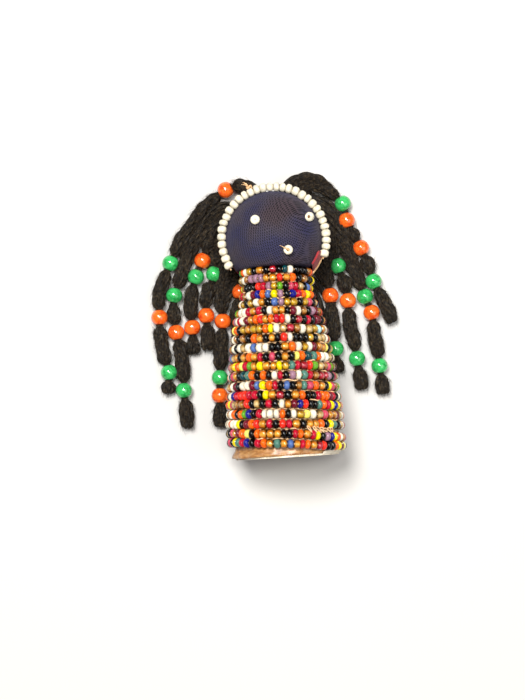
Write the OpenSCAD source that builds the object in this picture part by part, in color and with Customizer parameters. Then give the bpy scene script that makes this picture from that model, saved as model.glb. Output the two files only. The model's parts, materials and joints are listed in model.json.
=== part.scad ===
// Small beaded rag doll lying on its back, with yarn tresses and threaded beads.
// +Y runs from the foot of the body to the crown of the head, +Z is the face side,
// and the surface it lies on is z = 0.

/* [Body] */
// Clearance between one row of seed beads and the next
row_gap = 0.08; // [0.04:0.02:0.4]
// Height of the lowest row above the foot
first_row_h = 4.8; // [3:0.1:8]
// Radius over the beads at the neck
neck_r = 13.2; // [11:0.1:15]
// Radius over the beads at the shoulder
shoulder_r = 16.6; // [13:0.1:20]
// Radius over the beads at the foot
foot_r = 20.8; // [18:0.1:26]
// Rows that stay as narrow as the neck
neck_rows = 4; // [2:1:6]
// Row at which the shoulder is reached
shoulder_row = 7; // [7:1:9]
// Thickness of the card sleeve
card_t = 0.8; // [0.4:0.1:1.6]
// Thickness of the cloth that closes the foot
foot_cloth_t = 0.6; // [0.3:0.1:1.2]

/* [Seed beads] */
// Diameter of a seed bead
seed_d = 3.1; // [2.2:0.1:3.1]
// Length of a seed bead along its thread
seed_len = 2; // [1.4:0.1:2.4]
// Diameter of a seed bead's hole
seed_hole = 1; // [0.7:0.1:1.2]
// Diameter of the thread
thread_d = 0.5; // [0.2:0.05:0.55]

/* [Head] */
// Radius of the covered head
head_r = 17; // [14:0.1:20]
// Height of the head's centre above the neck's top
head_rise = 8.9; // [5:0.1:14]
// Thickness of the head's cover
cover_t = 0.8; // [0.4:0.1:1.4]
// Thickness of the cloth on the back of the head
back_cloth_t = 0.7; // [0.4:0.1:1.2]
// Slack between the beads that frame the face
face_slack = 0.25; // [0.1:0.05:1]
// Angle of the string's first bead, on the left of the chin
face_from = 208; // [190:1:225]
// Angle of the string's last bead, on the right of the chin
face_to = -21; // [-45:1:0]

/* [Hair] */
// Diameter of a yarn tress
tress_d = 4; // [3:0.1:4.1]
// Diameter of a hair bead
hair_bead_d = 6; // [5:0.1:6.1]
// Diameter of a hair bead's hole
hair_hole = 2.4; // [1.6:0.1:2.6]
// Radius of the yarn pad behind the head
pad_r = 14.8; // [12:0.1:14.9]
// How far the yarn pad's rim wraps up the back of the head
pad_wrap = 4.7; // [2:0.1:6]

/* [Hidden] */
$fn = 48;
rows = 20;              // rows of seed beads, each a node of its own
gap = 0.15;             // clearance between pieces that lie against each other
pad_least = 1.5;        // yarn left under the head at the thinnest place
seed_flat = 0.65;       // the flat end of a seed bead, as a share of its diameter
seed_band = 0.4;        // the straight middle of a seed bead, as a share of its length
hole_flare = 0.1;       // how much a seed bead's hole widens at its mouths
yarn_sides = 8;

seed_r = seed_d / 2;
thread_r = thread_d / 2;
tress_r = tress_d / 2;
bead_r = hair_bead_d / 2;

// Height of a row above the foot, with row 1 at the neck.
row_pitch = seed_d + row_gap;
function row_h(i) = first_row_h + (rows - i) * row_pitch;
sleeve_top = row_h(1) + seed_r;
neck_bottom = row_h(2) - seed_d;
chin_h = sleeve_top + 2 * gap;
head_h = sleeve_top + head_rise;

// The string that frames the face is the furthest that the doll reaches.
face_strand_r = head_r + seed_r - gap;
face_flat_r = face_strand_r - seed_r * seed_flat;
face_beads = 1 + floor((face_from - face_to) * PI / 180 * face_flat_r / (seed_len + face_slack));
doll_len = head_h + face_strand_r + seed_r;
base_y = -doll_len / 2;
head_y = base_y + head_h;

// The doll lies on its lowest row and on the yarn pad behind the head.
cup_r = head_r + back_cloth_t + 2 * gap;
axis_z = max(foot_r, cup_r + pad_least);
pad_h = axis_z - cup_r + pad_wrap;

// Radius over the beads of a row: a straight neck, a sloping shoulder, then a slow curve.
function row_r(i) =
    i <= neck_rows ? neck_r
    : i <= shoulder_row
        ? neck_r + (shoulder_r - neck_r) * (i - neck_rows) / (shoulder_row - neck_rows)
    : shoulder_r + (foot_r - shoulder_r) * sin(90 * (i - shoulder_row) / (rows - shoulder_row));

// Radius of a row's thread, and how many beads go on it.
function strand_r(i) = row_r(i) - seed_r;
function beads_in(i) = floor(2 * PI * (strand_r(i) - seed_r * seed_flat) / (seed_len + gap / 2));

// The card sleeve lies under the beads of every row.
function sleeve_r(i) = row_r(i) - seed_d - 1.5 * gap;
plug_r = sleeve_r(1) - card_t - gap;

// A point on the face side of the head, from its centre. The places on the face are measured
// on a head of radius face_map_r, and move in or out with the head's own size.
face_map_r = 17;
function on_head(x, y) =
    let (k = head_r / face_map_r)
    [k * x, k * y, k * sqrt(face_map_r * face_map_r - x * x - y * y)];
eye_left = on_head(-5.7, 4.8);
eye_right = on_head(11.8, 5.3);
mouth = on_head(4.2, -5.5);

PLAIN = 0;
ORANGE = 1;
GREEN = 2;

// Each tress is a route from its root on the yarn pad to its tip. A point is x and y from the
// head's centre, z above the surface, and the bead that is threaded there.
left_1 = [
    [-5.5, 14.5, 5, PLAIN], [-7.5, 19.5, 6, PLAIN], [-11, 22.5, 5.6, PLAIN],
    [-16, 21.5, 4.2, ORANGE], [-20.8, 18.3, 3, PLAIN], [-26, 13.3, 2.4, PLAIN],
    [-30.7, 7.6, 2.3, PLAIN], [-34.6, 1.8, 2.3, PLAIN], [-37.5, -3.7, 3, GREEN],
    [-40.4, -9.7, 2.2, PLAIN], [-42.4, -16, 2.2, PLAIN], [-42.6, -23, 3, ORANGE],
    [-42.6, -30, 2.2, PLAIN], [-41.8, -36.5, 2.2, PLAIN], [-40.3, -43, 3, GREEN],
    [-40.8, -48, 2.2, PLAIN], [-41, -51, 2.2, PLAIN]
];
left_2 = [
    [-11, 10.8, 4.5, PLAIN], [-16.2, 13, 3.6, PLAIN], [-21.4, 10.2, 2.8, PLAIN],
    [-26.2, 5.8, 2.4, PLAIN], [-30.2, 0.4, 2.3, PLAIN], [-32.6, -5.2, 2.3, PLAIN],
    [-34.8, -10.4, 2.3, PLAIN], [-36.8, -15.4, 3, GREEN], [-37.4, -21.5, 2.2, PLAIN],
    [-36.9, -28.8, 3, ORANGE], [-35.6, -36, 2.2, PLAIN], [-35.2, -43, 2.2, PLAIN],
    [-35.3, -49.8, 3, GREEN], [-35, -57, 2.2, PLAIN], [-34.7, -64, 2.2, PLAIN]
];
left_3 = [
    [-14, 6.4, 4.5, PLAIN], [-18.8, 6, 3.4, PLAIN], [-23.2, 2.2, 2.6, PLAIN],
    [-25.9, -3.5, 3, ORANGE], [-28.6, -9.2, 3, GREEN], [-30.6, -15.5, 2.2, PLAIN],
    [-31.3, -21.5, 2.2, PLAIN], [-31, -27.4, 3, ORANGE], [-31.2, -33, 2.2, PLAIN],
    [-31.2, -37.5, 2.2, PLAIN]
];
left_4 = [
    [-15.5, 0.5, 4.5, PLAIN], [-19.6, -1.5, 3.2, PLAIN], [-22, -8.6, 3, GREEN],
    [-24.6, -15, 2.2, PLAIN], [-25.6, -19, 2.2, PLAIN], [-25.7, -23.4, 3, ORANGE],
    [-25.6, -30, 2.2, PLAIN], [-26.2, -36.3, 2.2, PLAIN]
];
left_5 = [
    [-15.2, -4, 4.5, PLAIN], [-16.4, -7.7, 3.2, PLAIN], [-18.2, -14, 2.3, PLAIN],
    [-20, -19, 2.2, PLAIN], [-19.9, -25.8, 3, ORANGE], [-21, -33, 2.2, PLAIN],
    [-21.8, -40, 2.2, PLAIN], [-22.2, -46, 3, GREEN], [-22.6, -52.4, 3, ORANGE],
    [-22.9, -58, 2.2, PLAIN], [-23.2, -64, 2.2, PLAIN]
];
left_6 = [
    [-12.9, -9, 4.5, PLAIN], [-13, -11, 3.6, PLAIN], [-13.2, -15.4, 3, ORANGE],
    [-14.6, -22.5, 2.2, PLAIN], [-14.4, -28, 2.2, PLAIN], [-14.8, -35, 2.2, PLAIN],
    [-15.6, -42, 2.2, PLAIN], [-16.2, -47, 2.2, PLAIN]
];
right_1 = [
    [5.5, 14.5, 5, PLAIN], [9, 20, 6, PLAIN], [14.5, 22, 5.4, PLAIN],
    [20, 19.6, 4, PLAIN], [26, 14.1, 3, GREEN], [27, 7.9, 3, ORANGE],
    [29.1, 2.6, 2.3, PLAIN], [31.5, -2.4, 3, ORANGE], [33.5, -8.6, 2.2, PLAIN],
    [35.2, -14.8, 3, GREEN], [37.7, -20.8, 2.2, PLAIN], [40, -26, 2.2, PLAIN],
    [41.4, -30.6, 2.2, PLAIN]
];
right_2 = [
    [11, 10.8, 4.5, PLAIN], [16, 11.2, 3.6, PLAIN], [20.6, 8, 2.6, PLAIN],
    [24, 3, 2.3, PLAIN], [26.3, -2.6, 2.3, PLAIN], [28.3, -9, 2.2, PLAIN],
    [30, -14.8, 2.2, PLAIN], [31.7, -20.1, 3, GREEN], [33.7, -26, 3, ORANGE],
    [34.2, -33, 2.2, PLAIN], [34.9, -39, 2.2, PLAIN], [35.3, -45.3, 3, GREEN],
    [35.7, -51, 2.2, PLAIN], [36, -56, 2.2, PLAIN]
];
right_3 = [
    [14.6, 5.4, 4.5, PLAIN], [18.7, 2.8, 3.2, PLAIN], [21.5, -2.4, 2.3, PLAIN],
    [22.7, -8.4, 3, GREEN], [24.6, -15, 2.2, PLAIN], [25.5, -21.2, 3, ORANGE],
    [25.6, -29, 2.2, PLAIN], [26.8, -36, 2.2, PLAIN], [27.4, -42.2, 3, GREEN],
    [28, -48, 2.2, PLAIN], [28.4, -54, 2.2, PLAIN]
];
right_4 = [
    [15.3, -2.8, 4.5, PLAIN], [17.2, -7, 3.2, PLAIN], [18.6, -13, 2.3, PLAIN],
    [19.3, -18.9, 3, ORANGE], [19.2, -26, 2.2, PLAIN], [19.6, -32, 2.2, PLAIN],
    [19.9, -38.2, 3, GREEN], [20, -43, 2.2, PLAIN], [20.2, -47.5, 2.2, PLAIN]
];

// A seed bead about Z: flat ends, a rounded belly and a hole with a narrow waist.
module seed_bead() {
    half = seed_len / 2;
    hole_r = seed_hole / 2;
    rotate_extrude()
        polygon([
            [hole_r + hole_flare, -half], [seed_r * seed_flat, -half],
            [seed_r, -half * seed_band], [seed_r, half * seed_band],
            [seed_r * seed_flat, half], [hole_r + hole_flare, half], [hole_r, 0]
        ]);
}

// Turns a shape made about Z so that Z runs from the foot to the crown.
module along_body(h = 0) {
    translate([0, base_y + h, axis_z]) rotate([-90, 0, 0]) children();
}

// One strung row: beads all round, the first of them on the face side.
module bead_row(i, colour) {
    count = beads_in(i);
    color(colour)
        along_body(row_h(i))
            for (k = [0 : count - 1])
                rotate(k * 360 / count - 90)
                    translate([strand_r(i), 0, 0]) rotate([90, 0, 0]) seed_bead();
}

module row_threads() {
    color("navajowhite")
        for (i = [1 : rows])
            along_body(row_h(i))
                rotate_extrude() translate([strand_r(i), 0]) circle(thread_r);
}

// The card sleeve is a tube that follows the rows from the foot cloth to the neck.
module card_sleeve() {
    outer = concat(
        [[sleeve_r(rows), foot_cloth_t]],
        [for (i = [rows : -1 : 1]) [sleeve_r(i), row_h(i)]],
        [[sleeve_r(1), sleeve_top]]
    );
    last = len(outer) - 1;
    inner = [for (k = [last : -1 : 0]) [outer[k][0] - card_t, outer[k][1]]];
    color("peru") along_body() rotate_extrude() polygon(concat(outer, inner));
}

// The stuffing fills the sleeve up to the neck plug of the head.
module core_stuffing() {
    clear = card_t + gap;
    wall = [for (i = [rows : -1 : 1]) if (row_h(i) < neck_bottom) [sleeve_r(i) - clear, row_h(i)]];
    top = neck_bottom - gap;
    color("wheat")
        along_body()
            rotate_extrude()
                polygon(concat(
                    [[0, foot_cloth_t + gap], [sleeve_r(rows) - clear, foot_cloth_t + gap]],
                    wall,
                    [[sleeve_r(1) - clear, top], [0, top]]
                ));
}

// A cloth disc closes the foot, with a loose corner that stands out on the right.
module foot_cloth() {
    corner_share = 0.62;
    corner = sleeve_r(rows) * corner_share * [1, -1];
    near_top = [4.2, 2.2];
    tip = [5, -3];
    near_side = [-2.5, -4.6];
    color("antiquewhite")
        along_body()
            union() {
                cylinder(h = foot_cloth_t, r = sleeve_r(rows));
                linear_extrude(foot_cloth_t)
                    polygon([[0, 0], corner + near_top, corner + tip, corner + near_side]);
            }
}

// Profile of the ball with its flat chin and its neck plug, shrunk by an inset.
module head_shape(inset) {
    r = head_r - inset;
    drop = head_h - chin_h - inset;
    union() {
        intersection() {
            sphere(r);
            translate([0, 0, -drop]) cylinder(h = drop + r, r = 2 * r);
        }
        neck_len = head_h - neck_bottom - inset;
        translate([0, 0, -neck_len]) cylinder(h = neck_len, r = plug_r - inset);
    }
}

module head_cover() {
    color("darkslateblue")
        along_body(head_h)
            difference() {
                head_shape(0);
                head_shape(cover_t);
            }
}

module head_stuffing() {
    color("wheat") along_body(head_h) head_shape(cover_t + gap);
}

// The red cloth is a cap on the back of the head, tilted so that it shows on the right.
module head_back_cloth() {
    tilt = 12;
    edge_drop = 1.7;
    inside_r = head_r + gap / 2;
    outside_r = inside_r + back_cloth_t;
    side = 3 * outside_r;
    color("firebrick")
        translate([0, head_y, axis_z])
            intersection() {
                difference() {
                    sphere(outside_r);
                    sphere(inside_r);
                }
                rotate([0, -tilt, 0]) translate([0, 0, -side / 2 - edge_drop]) cube(side, center = true);
                translate([0, side / 2 - (head_h - chin_h) + gap, 0]) cube(side, center = true);
            }
}

// The string that frames the face lies on the front slope of the head.
string_rise = 3.7;
string_z = axis_z + string_rise;
module on_face_string(angle) {
    translate([0, head_y, string_z]) rotate(angle) translate([face_strand_r, 0, 0]) children();
}

module face_bead_string() {
    step = (face_from - face_to) / (face_beads - 1);
    color("ivory")
        for (k = [0 : face_beads - 1])
            on_face_string(face_to + k * step) rotate([90, 0, 0]) seed_bead();
}

module face_string_thread() {
    reach = 4;
    color("navajowhite")
        translate([0, head_y, string_z])
            rotate(face_to - reach)
                rotate_extrude(angle = face_from - face_to + 2 * reach)
                    translate([face_strand_r, 0]) circle(thread_r);
}

// Two short ends of thread are knotted outside the string, at the upper left.
module string_knot() {
    knot_at = 118;
    knot_r = 1.1;
    long_end = 3.2;
    short_end = 2.6;
    color("navajowhite")
        on_face_string(knot_at)
            translate([seed_r + knot_r + gap, 0, 0]) {
                sphere(knot_r);
                rotate([0, 75, 60]) cylinder(h = long_end, r = thread_r);
                rotate([0, 85, 100]) cylinder(h = short_end, r = thread_r);
            }
}

// Turns a shape made about Z so that it stands on the head at a point on its surface.
module stand_on_head(point, out = 0) {
    lean = acos(point[2] / head_r);
    turn = atan2(point[1], point[0]);
    translate([0, head_y, axis_z]) rotate([0, lean, turn]) translate([0, 0, head_r + out]) children();
}

module face_bead(point) {
    color("ivory") stand_on_head(point, seed_len / 2 + gap / 2) seed_bead();
}

// The thread stands in the hole of each bead on the face.
module face_stitches() {
    color("saddlebrown")
        for (point = [eye_left, eye_right])
            stand_on_head(point, gap / 2) cylinder(h = seed_len + gap, r = thread_r);
}

module mouth_thread_end() {
    stitch_h = seed_len + 2 * gap;
    loose_end = 2.6;
    color("navajowhite")
        stand_on_head(mouth, gap / 2) {
            cylinder(h = stitch_h, r = thread_r);
            translate([0, 0, stitch_h]) {
                sphere(thread_r);
                rotate([0, 62, 105]) cylinder(h = loose_end, r = thread_r);
            }
        }
}

// The yarn is stitched down as a flat pad, hollowed where the back of the head sits in it and
// where the neck's rows of beads pass over its rim.
module hair_pad() {
    color("#241d18")
        difference() {
            translate([0, head_y, 0]) cylinder(h = pad_h, r = pad_r);
            translate([0, head_y, axis_z]) sphere(cup_r);
            for (i = [1 : rows])
                along_body(row_h(i) - seed_r - gap) cylinder(h = seed_d + 2 * gap, r = row_r(i) + gap);
        }
}

// Route helpers: a point's place, the direction of the route there, and its beads.
function place(route, i) = [route[i][0], head_y + route[i][1], route[i][2]];
function unit(v) = v / norm(v);
function heading(route, i) =
    unit(place(route, min(i + 1, len(route) - 1)) - place(route, max(i - 1, 0)));
function has_bead(route, i) = i >= 0 && i < len(route) && route[i][3] != PLAIN;

// Sections of the yarn, each [centre, direction, radius]: thin at the root, full between
// the beads, and drawn in where it passes through a bead.
neck_yarn_r = hair_hole / 2 - gap;
full_at = 1.1;          // where the yarn is full again, in bead radii from the bead's middle
drawn_at = 0.98;        // where it is still drawn in
function section(route, i, along, r) =
    [place(route, i) + heading(route, i) * along, heading(route, i), r];
function bead_sections(route, i) = [
    if (!has_bead(route, i - 1)) section(route, i, -full_at * bead_r, tress_r),
    section(route, i, -drawn_at * bead_r, neck_yarn_r),
    section(route, i, drawn_at * bead_r, neck_yarn_r),
    if (!has_bead(route, i + 1)) section(route, i, full_at * bead_r, tress_r)
];
function yarn_sections(route) = [
    section(route, 0, 0, 0.4 * tress_r),
    section(route, 0, 0.6 * tress_r, 0.85 * tress_r),
    for (i = [1 : len(route) - 2])
        each has_bead(route, i) ? bead_sections(route, i) : [section(route, i, 0, tress_r)],
    section(route, len(route) - 1, 0, 0.95 * tress_r),
    section(route, len(route) - 1, 0.6 * tress_r, 0.6 * tress_r)
];
function ring(s) =
    let (side = unit(cross(s[1], [0, 0, 1])), up = cross(side, s[1]))
    [for (k = [0 : yarn_sides - 1])
        s[0] + s[2] * (cos(k * 360 / yarn_sides) * side + sin(k * 360 / yarn_sides) * up)];

module tress(route) {
    sections = yarn_sections(route);
    last = len(sections) - 1;
    points = [for (s = sections) each ring(s)];
    sides = [
        for (j = [0 : last - 1], k = [0 : yarn_sides - 1])
            let (a = j * yarn_sides + k, b = j * yarn_sides + (k + 1) % yarn_sides)
            each [[a, b, b + yarn_sides], [a, b + yarn_sides, a + yarn_sides]]
    ];
    root_end = [for (k = [1 : yarn_sides - 2]) [0, k + 1, k]];
    tip = last * yarn_sides;
    tip_end = [for (k = [1 : yarn_sides - 2]) [tip, tip + k, tip + k + 1]];
    color("#2a231d") polyhedron(points, concat(sides, root_end, tip_end));
}

// The round beads threaded on a tress, each with its hole along the yarn.
module hair_beads(route) {
    for (i = [0 : len(route) - 1])
        if (has_bead(route, i)) {
            d = heading(route, i);
            color(route[i][3] == ORANGE ? "orangered" : "mediumseagreen")
                translate(place(route, i))
                    rotate([0, acos(d[2]), atan2(d[1], d[0])])
                        difference() {
                            sphere(bead_r);
                            cylinder(h = 3 * bead_r, r = hair_hole / 2, center = true);
                        }
        }
}

core_stuffing();
card_sleeve();
foot_cloth();
row_threads();
bead_row(1, "black");  // bead_row_01
bead_row(2, "orange");  // bead_row_02
bead_row(3, "crimson");  // bead_row_03
bead_row(4, "royalblue");  // bead_row_04
bead_row(5, "gold");  // bead_row_05
bead_row(6, "ivory");  // bead_row_06
bead_row(7, "orangered");  // bead_row_07
bead_row(8, "goldenrod");  // bead_row_08
bead_row(9, "black");  // bead_row_09
bead_row(10, "crimson");  // bead_row_10
bead_row(11, "ivory");  // bead_row_11
bead_row(12, "orange");  // bead_row_12
bead_row(13, "seagreen");  // bead_row_13
bead_row(14, "orangered");  // bead_row_14
bead_row(15, "gold");  // bead_row_15
bead_row(16, "maroon");  // bead_row_16
bead_row(17, "ivory");  // bead_row_17
bead_row(18, "goldenrod");  // bead_row_18
bead_row(19, "crimson");  // bead_row_19
bead_row(20, "orange");  // bead_row_20
head_stuffing();
head_cover();
head_back_cloth();
face_bead_string();
face_string_thread();
string_knot();
face_bead(eye_left);  // eye_bead_left
face_bead(eye_right);  // eye_bead_right
face_bead(mouth);  // mouth_bead
face_stitches();
mouth_thread_end();
hair_pad();
tress(left_1);  // tress_left_1
tress(left_2);  // tress_left_2
tress(left_3);  // tress_left_3
tress(left_4);  // tress_left_4
tress(left_5);  // tress_left_5
tress(left_6);  // tress_left_6
tress(right_1);  // tress_right_1
tress(right_2);  // tress_right_2
tress(right_3);  // tress_right_3
tress(right_4);  // tress_right_4
hair_beads(left_1);  // hair_beads_left_1
hair_beads(left_2);  // hair_beads_left_2
hair_beads(left_3);  // hair_beads_left_3
hair_beads(left_4);  // hair_beads_left_4
hair_beads(left_5);  // hair_beads_left_5
hair_beads(left_6);  // hair_beads_left_6
hair_beads(right_1);  // hair_beads_right_1
hair_beads(right_2);  // hair_beads_right_2
hair_beads(right_3);  // hair_beads_right_3
hair_beads(right_4);  // hair_beads_right_4
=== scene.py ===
"""A small beaded rag doll that lies on its back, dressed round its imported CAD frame.

+Y runs from the foot to the crown of the head, +Z is the face side and z = 0 is the surface
it lies on. Lengths in the classes are in millimetres, and places come from the frame's boxes.
"""

from __future__ import annotations

import json
import logging
import math
import random
from dataclasses import dataclass, field
from enum import Enum
from typing import Iterable, Sequence

import bmesh
import bpy
from mathutils import Matrix, Vector, noise

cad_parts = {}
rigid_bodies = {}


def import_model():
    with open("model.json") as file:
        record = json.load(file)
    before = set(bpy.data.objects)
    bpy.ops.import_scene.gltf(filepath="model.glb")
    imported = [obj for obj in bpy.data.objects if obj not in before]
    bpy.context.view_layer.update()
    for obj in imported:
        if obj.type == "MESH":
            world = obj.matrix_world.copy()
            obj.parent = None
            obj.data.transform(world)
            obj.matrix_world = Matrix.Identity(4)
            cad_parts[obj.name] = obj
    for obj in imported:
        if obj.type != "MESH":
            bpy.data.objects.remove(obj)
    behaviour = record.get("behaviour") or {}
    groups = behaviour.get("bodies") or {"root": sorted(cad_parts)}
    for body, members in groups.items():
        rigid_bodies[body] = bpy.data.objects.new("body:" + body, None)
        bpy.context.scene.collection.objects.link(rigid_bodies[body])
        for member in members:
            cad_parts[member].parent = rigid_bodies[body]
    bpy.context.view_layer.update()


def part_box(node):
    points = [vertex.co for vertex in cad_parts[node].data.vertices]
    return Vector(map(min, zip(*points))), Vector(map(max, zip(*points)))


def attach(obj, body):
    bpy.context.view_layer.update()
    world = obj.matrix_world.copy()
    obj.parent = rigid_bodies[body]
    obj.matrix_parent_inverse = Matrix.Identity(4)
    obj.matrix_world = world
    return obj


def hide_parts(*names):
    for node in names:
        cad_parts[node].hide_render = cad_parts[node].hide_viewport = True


LOG = logging.getLogger("beaded_doll")
MM = 0.001
# The vertex colours: each bead's glass colour, with a painted highlight and painted shade on clear
# beads.
GLASS_AND_PAINTED_LIGHT_LAYER = "glass_colour_and_painted_light"
GLASS_IOR = 1.52
ACRYLIC_IOR = 1.49
WAVES_TO_SCALE = 0.314  # the wave texture's scale for one wave to a unit
MIX_FIRST, MIX_SECOND, MIX_RESULT = 6, 7, 2  # the mix node's colour sockets
ROW_NAMES = [f"bead_row_{i:02d}" for i in range(1, 21)]
Socket = bpy.types.NodeSocket


# ---------------------------------------------------------------- helpers


def linear(colour: str) -> tuple[float, float, float, float]:
    """Turns an sRGB colour, as "#rrggbb", to linear red, green and blue, and a full alpha."""
    values = []
    for k in (1, 3, 5):
        share = int(colour[k : k + 2], 16) / 255
        values.append(share / 12.92 if share <= 0.04045 else ((share + 0.055) / 1.055) ** 2.4)
    return values[0], values[1], values[2], 1.0


def new_piece(name: str, bm: bmesh.types.BMesh, smooth: bool = True) -> bpy.types.Object:
    """Makes an object of a finished bmesh, which is in metres and in place and is freed."""
    mesh = bpy.data.meshes.new(name)
    bm.to_mesh(mesh)
    bm.free()
    if smooth:
        mesh.shade_smooth()
    piece = bpy.data.objects.new(name, mesh)
    bpy.context.scene.collection.objects.link(piece)
    return piece


def dress(
    piece: bpy.types.Object, materials: Iterable[bpy.types.Material], body: str, slot: str,
    *replaced: str,
) -> bpy.types.Object:
    """Gives a piece its materials, its body and the CAD nodes it stands for."""
    for material in materials:
        piece.data.materials.append(material)
    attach(piece, body)
    if replaced:
        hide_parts(*replaced)
    LOG.info("%s: %d faces, rides on %s", piece.name, len(piece.data.polygons), body)
    return piece


def smooth_step(low: float, high: float, value: float) -> float:
    """Goes smoothly from 0 at low to 1 at high."""
    share = min(1.0, max(0.0, (value - low) / (high - low)))
    return share * share * (3 - 2 * share)


def way_round(angle: float) -> Vector:
    """The way out from the body's axis, at an angle right of the face's middle."""
    return Vector((math.sin(angle), 0, math.cos(angle)))


def way_across(angle: float) -> Vector:
    """The way out from the head's middle over its outline, at an angle up from the right."""
    return Vector((math.cos(angle), math.sin(angle), 0))


def turn_in(steps: int) -> list[float]:
    """The angles of a whole turn, in even steps."""
    return [math.tau * k / steps for k in range(steps)]


def middle_of(node: str) -> Vector:
    """The middle of a CAD node's box."""
    low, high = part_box(node)
    return (low + high) / 2


def thicken(piece: bpy.types.Object, thickness: float, offset: int) -> None:
    """Gives a sheet a thickness in millimetres: inwards for -1, both ways for 0, outwards for 1."""
    wall = piece.modifiers.new("wall", "SOLIDIFY")
    wall.thickness = thickness * MM
    wall.offset = offset


def keep_above_floor(piece: bpy.types.Object, least: float = 0.0) -> None:
    """Lifts what hangs lower than the least height, in millimetres."""
    for vert in piece.data.vertices:
        vert.co.z = max(vert.co.z, least * MM)


def fill_out(node: str, wadding: bpy.types.Material) -> None:
    """Gives a CAD node that is stuffing its wadding."""
    stuffing = bpy.data.objects[node]
    stuffing.data.materials.clear()
    stuffing.data.materials.append(wadding)


def spin_section(bm: bmesh.types.BMesh, points: Iterable[tuple[float, float]], steps: int) -> None:
    """Spins a closed half section about Z, given as radii and heights in millimetres."""
    verts = [bm.verts.new((radius * MM, 0, height * MM)) for radius, height in points]
    edges = [bm.edges.new((a, b)) for a, b in zip(verts, verts[1:] + verts[:1])]
    bmesh.ops.spin(
        bm, geom=verts + edges, cent=(0, 0, 0), axis=(0, 0, 1), dvec=(0, 0, 0),
        angle=math.tau, steps=steps, use_merge=True, use_duplicate=False,
    )


# ---------------------------------------------------------------- finishes


class Recipe:
    """A material in the making: its shader, its object coordinates and short ways to add nodes."""

    def __init__(self, name: str, roughness: float, ior: float = 1.5, **inputs: object) -> None:
        """Starts the material with its gloss and any other inputs of its shader."""
        self.material = bpy.data.materials.new(name)
        self.material.use_nodes = True
        self.tree = self.material.node_tree
        self.shader = self.tree.nodes["Principled BSDF"]
        self.set_up(self.shader, Roughness=roughness, IOR=ior, **inputs)
        self.place = self.node("TexCoord").outputs["Object"]

    @staticmethod
    def set_up(node: bpy.types.Node, **settings: object) -> None:
        """Gives a node its settings: a capital begins an input, with _ for a space."""
        for name, value in settings.items():
            if name[0].isupper():
                node.inputs[name.replace("_", " ")].default_value = value
            else:
                setattr(node, name, value)

    def node(self, kind: str, links: dict | None = None, **settings: object) -> bpy.types.Node:
        """Adds a node, with output sockets by the name or number of the input they go to."""
        node = self.tree.nodes.new("ShaderNode" + kind)
        self.set_up(node, **settings)
        for name, source in (links or {}).items():
            self.tree.links.new(source, node.inputs[name])
        return node

    def noise(
        self, scale: float, detail: float, place: Socket | None = None, **more: float
    ) -> Socket:
        """Clouds, with the texture's scale for a millimetre."""
        links = {"Vector": place or self.place}
        return self.node("TexNoise", links, Scale=scale / MM, Detail=detail, **more).outputs["Fac"]

    def web(self, scale: float, place: Socket | None = None) -> Socket:
        """The distance from the nearest line of a web, with about scale cells to a millimetre."""
        links = {"Vector": place or self.place}
        return self.node(
            "TexVoronoi", links, feature="DISTANCE_TO_EDGE", Scale=scale / MM, Randomness=1.0
        ).outputs["Distance"]

    def bands(self, scale: float, way: str, **more: float) -> Socket:
        """Waves along one direction, with the texture's scale for a millimetre."""
        links = {"Vector": self.place}
        return self.node(
            "TexWave", links, wave_type="BANDS", bands_direction=way, Scale=scale / MM, **more
        ).outputs["Fac"]

    def total(self, first: Socket, share: float, second: Socket) -> Socket:
        """A share of the first and all of the second."""
        node = self.node("Math", {0: first, 2: second}, operation="MULTIPLY_ADD")
        node.inputs[1].default_value = share
        return node.outputs[0]

    def ramp(self, factor: Socket, *stops: tuple[float, str]) -> Socket:
        """A colour ramp, from each stop's place and sRGB colour."""
        node = self.node("ValToRGB", {"Fac": factor})
        elements = node.color_ramp.elements
        while len(elements) < len(stops):
            elements.new(1.0)
        for element, (place, colour) in zip(elements, stops):
            element.position = place
            element.color = linear(colour)
        return node.outputs["Color"]

    def tinted(self, colour: Socket, tint: Socket, share: float = 1.0) -> Socket:
        """A colour multiplied by a share of a tint."""
        node = self.node(
            "Mix", {MIX_FIRST: colour, MIX_SECOND: tint}, data_type="RGBA", blend_type="MULTIPLY"
        )
        node.inputs[0].default_value = share
        return node.outputs[MIX_RESULT]

    def finish(
        self, colour: Socket, height: Socket, depth: float, strength: float
    ) -> bpy.types.Material:
        """Links the colour and a bump that is depth millimetres deep, and hands the material over."""
        bump = self.node("Bump", {"Height": height}, Strength=strength, Distance=depth * MM)
        self.tree.links.new(colour, self.shader.inputs["Base Color"])
        self.tree.links.new(bump.outputs["Normal"], self.shader.inputs["Normal"])
        return self.material


def seed_glass(name: str, roughness: float, **inputs: float) -> bpy.types.Material:
    """Drawn soda-lime glass, cut and fire-polished: a wet gloss with one small glint on each bead.

    The colour is the bead's own, a little uneven as its batch was; clear beads also carry a painted
    highlight and painted shade.
    """
    recipe = Recipe(name, roughness, GLASS_IOR, **inputs)
    colour = recipe.node("Attribute", attribute_name=GLASS_AND_PAINTED_LIGHT_LAYER).outputs["Color"]
    clouds = recipe.noise(0.7, 3.0)
    shade = recipe.ramp(clouds, (0.3, "#d2d2d2"), (0.6, "#ffffff"))
    return recipe.finish(recipe.tinted(colour, shade), clouds, 0.05, 0.35)


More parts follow.
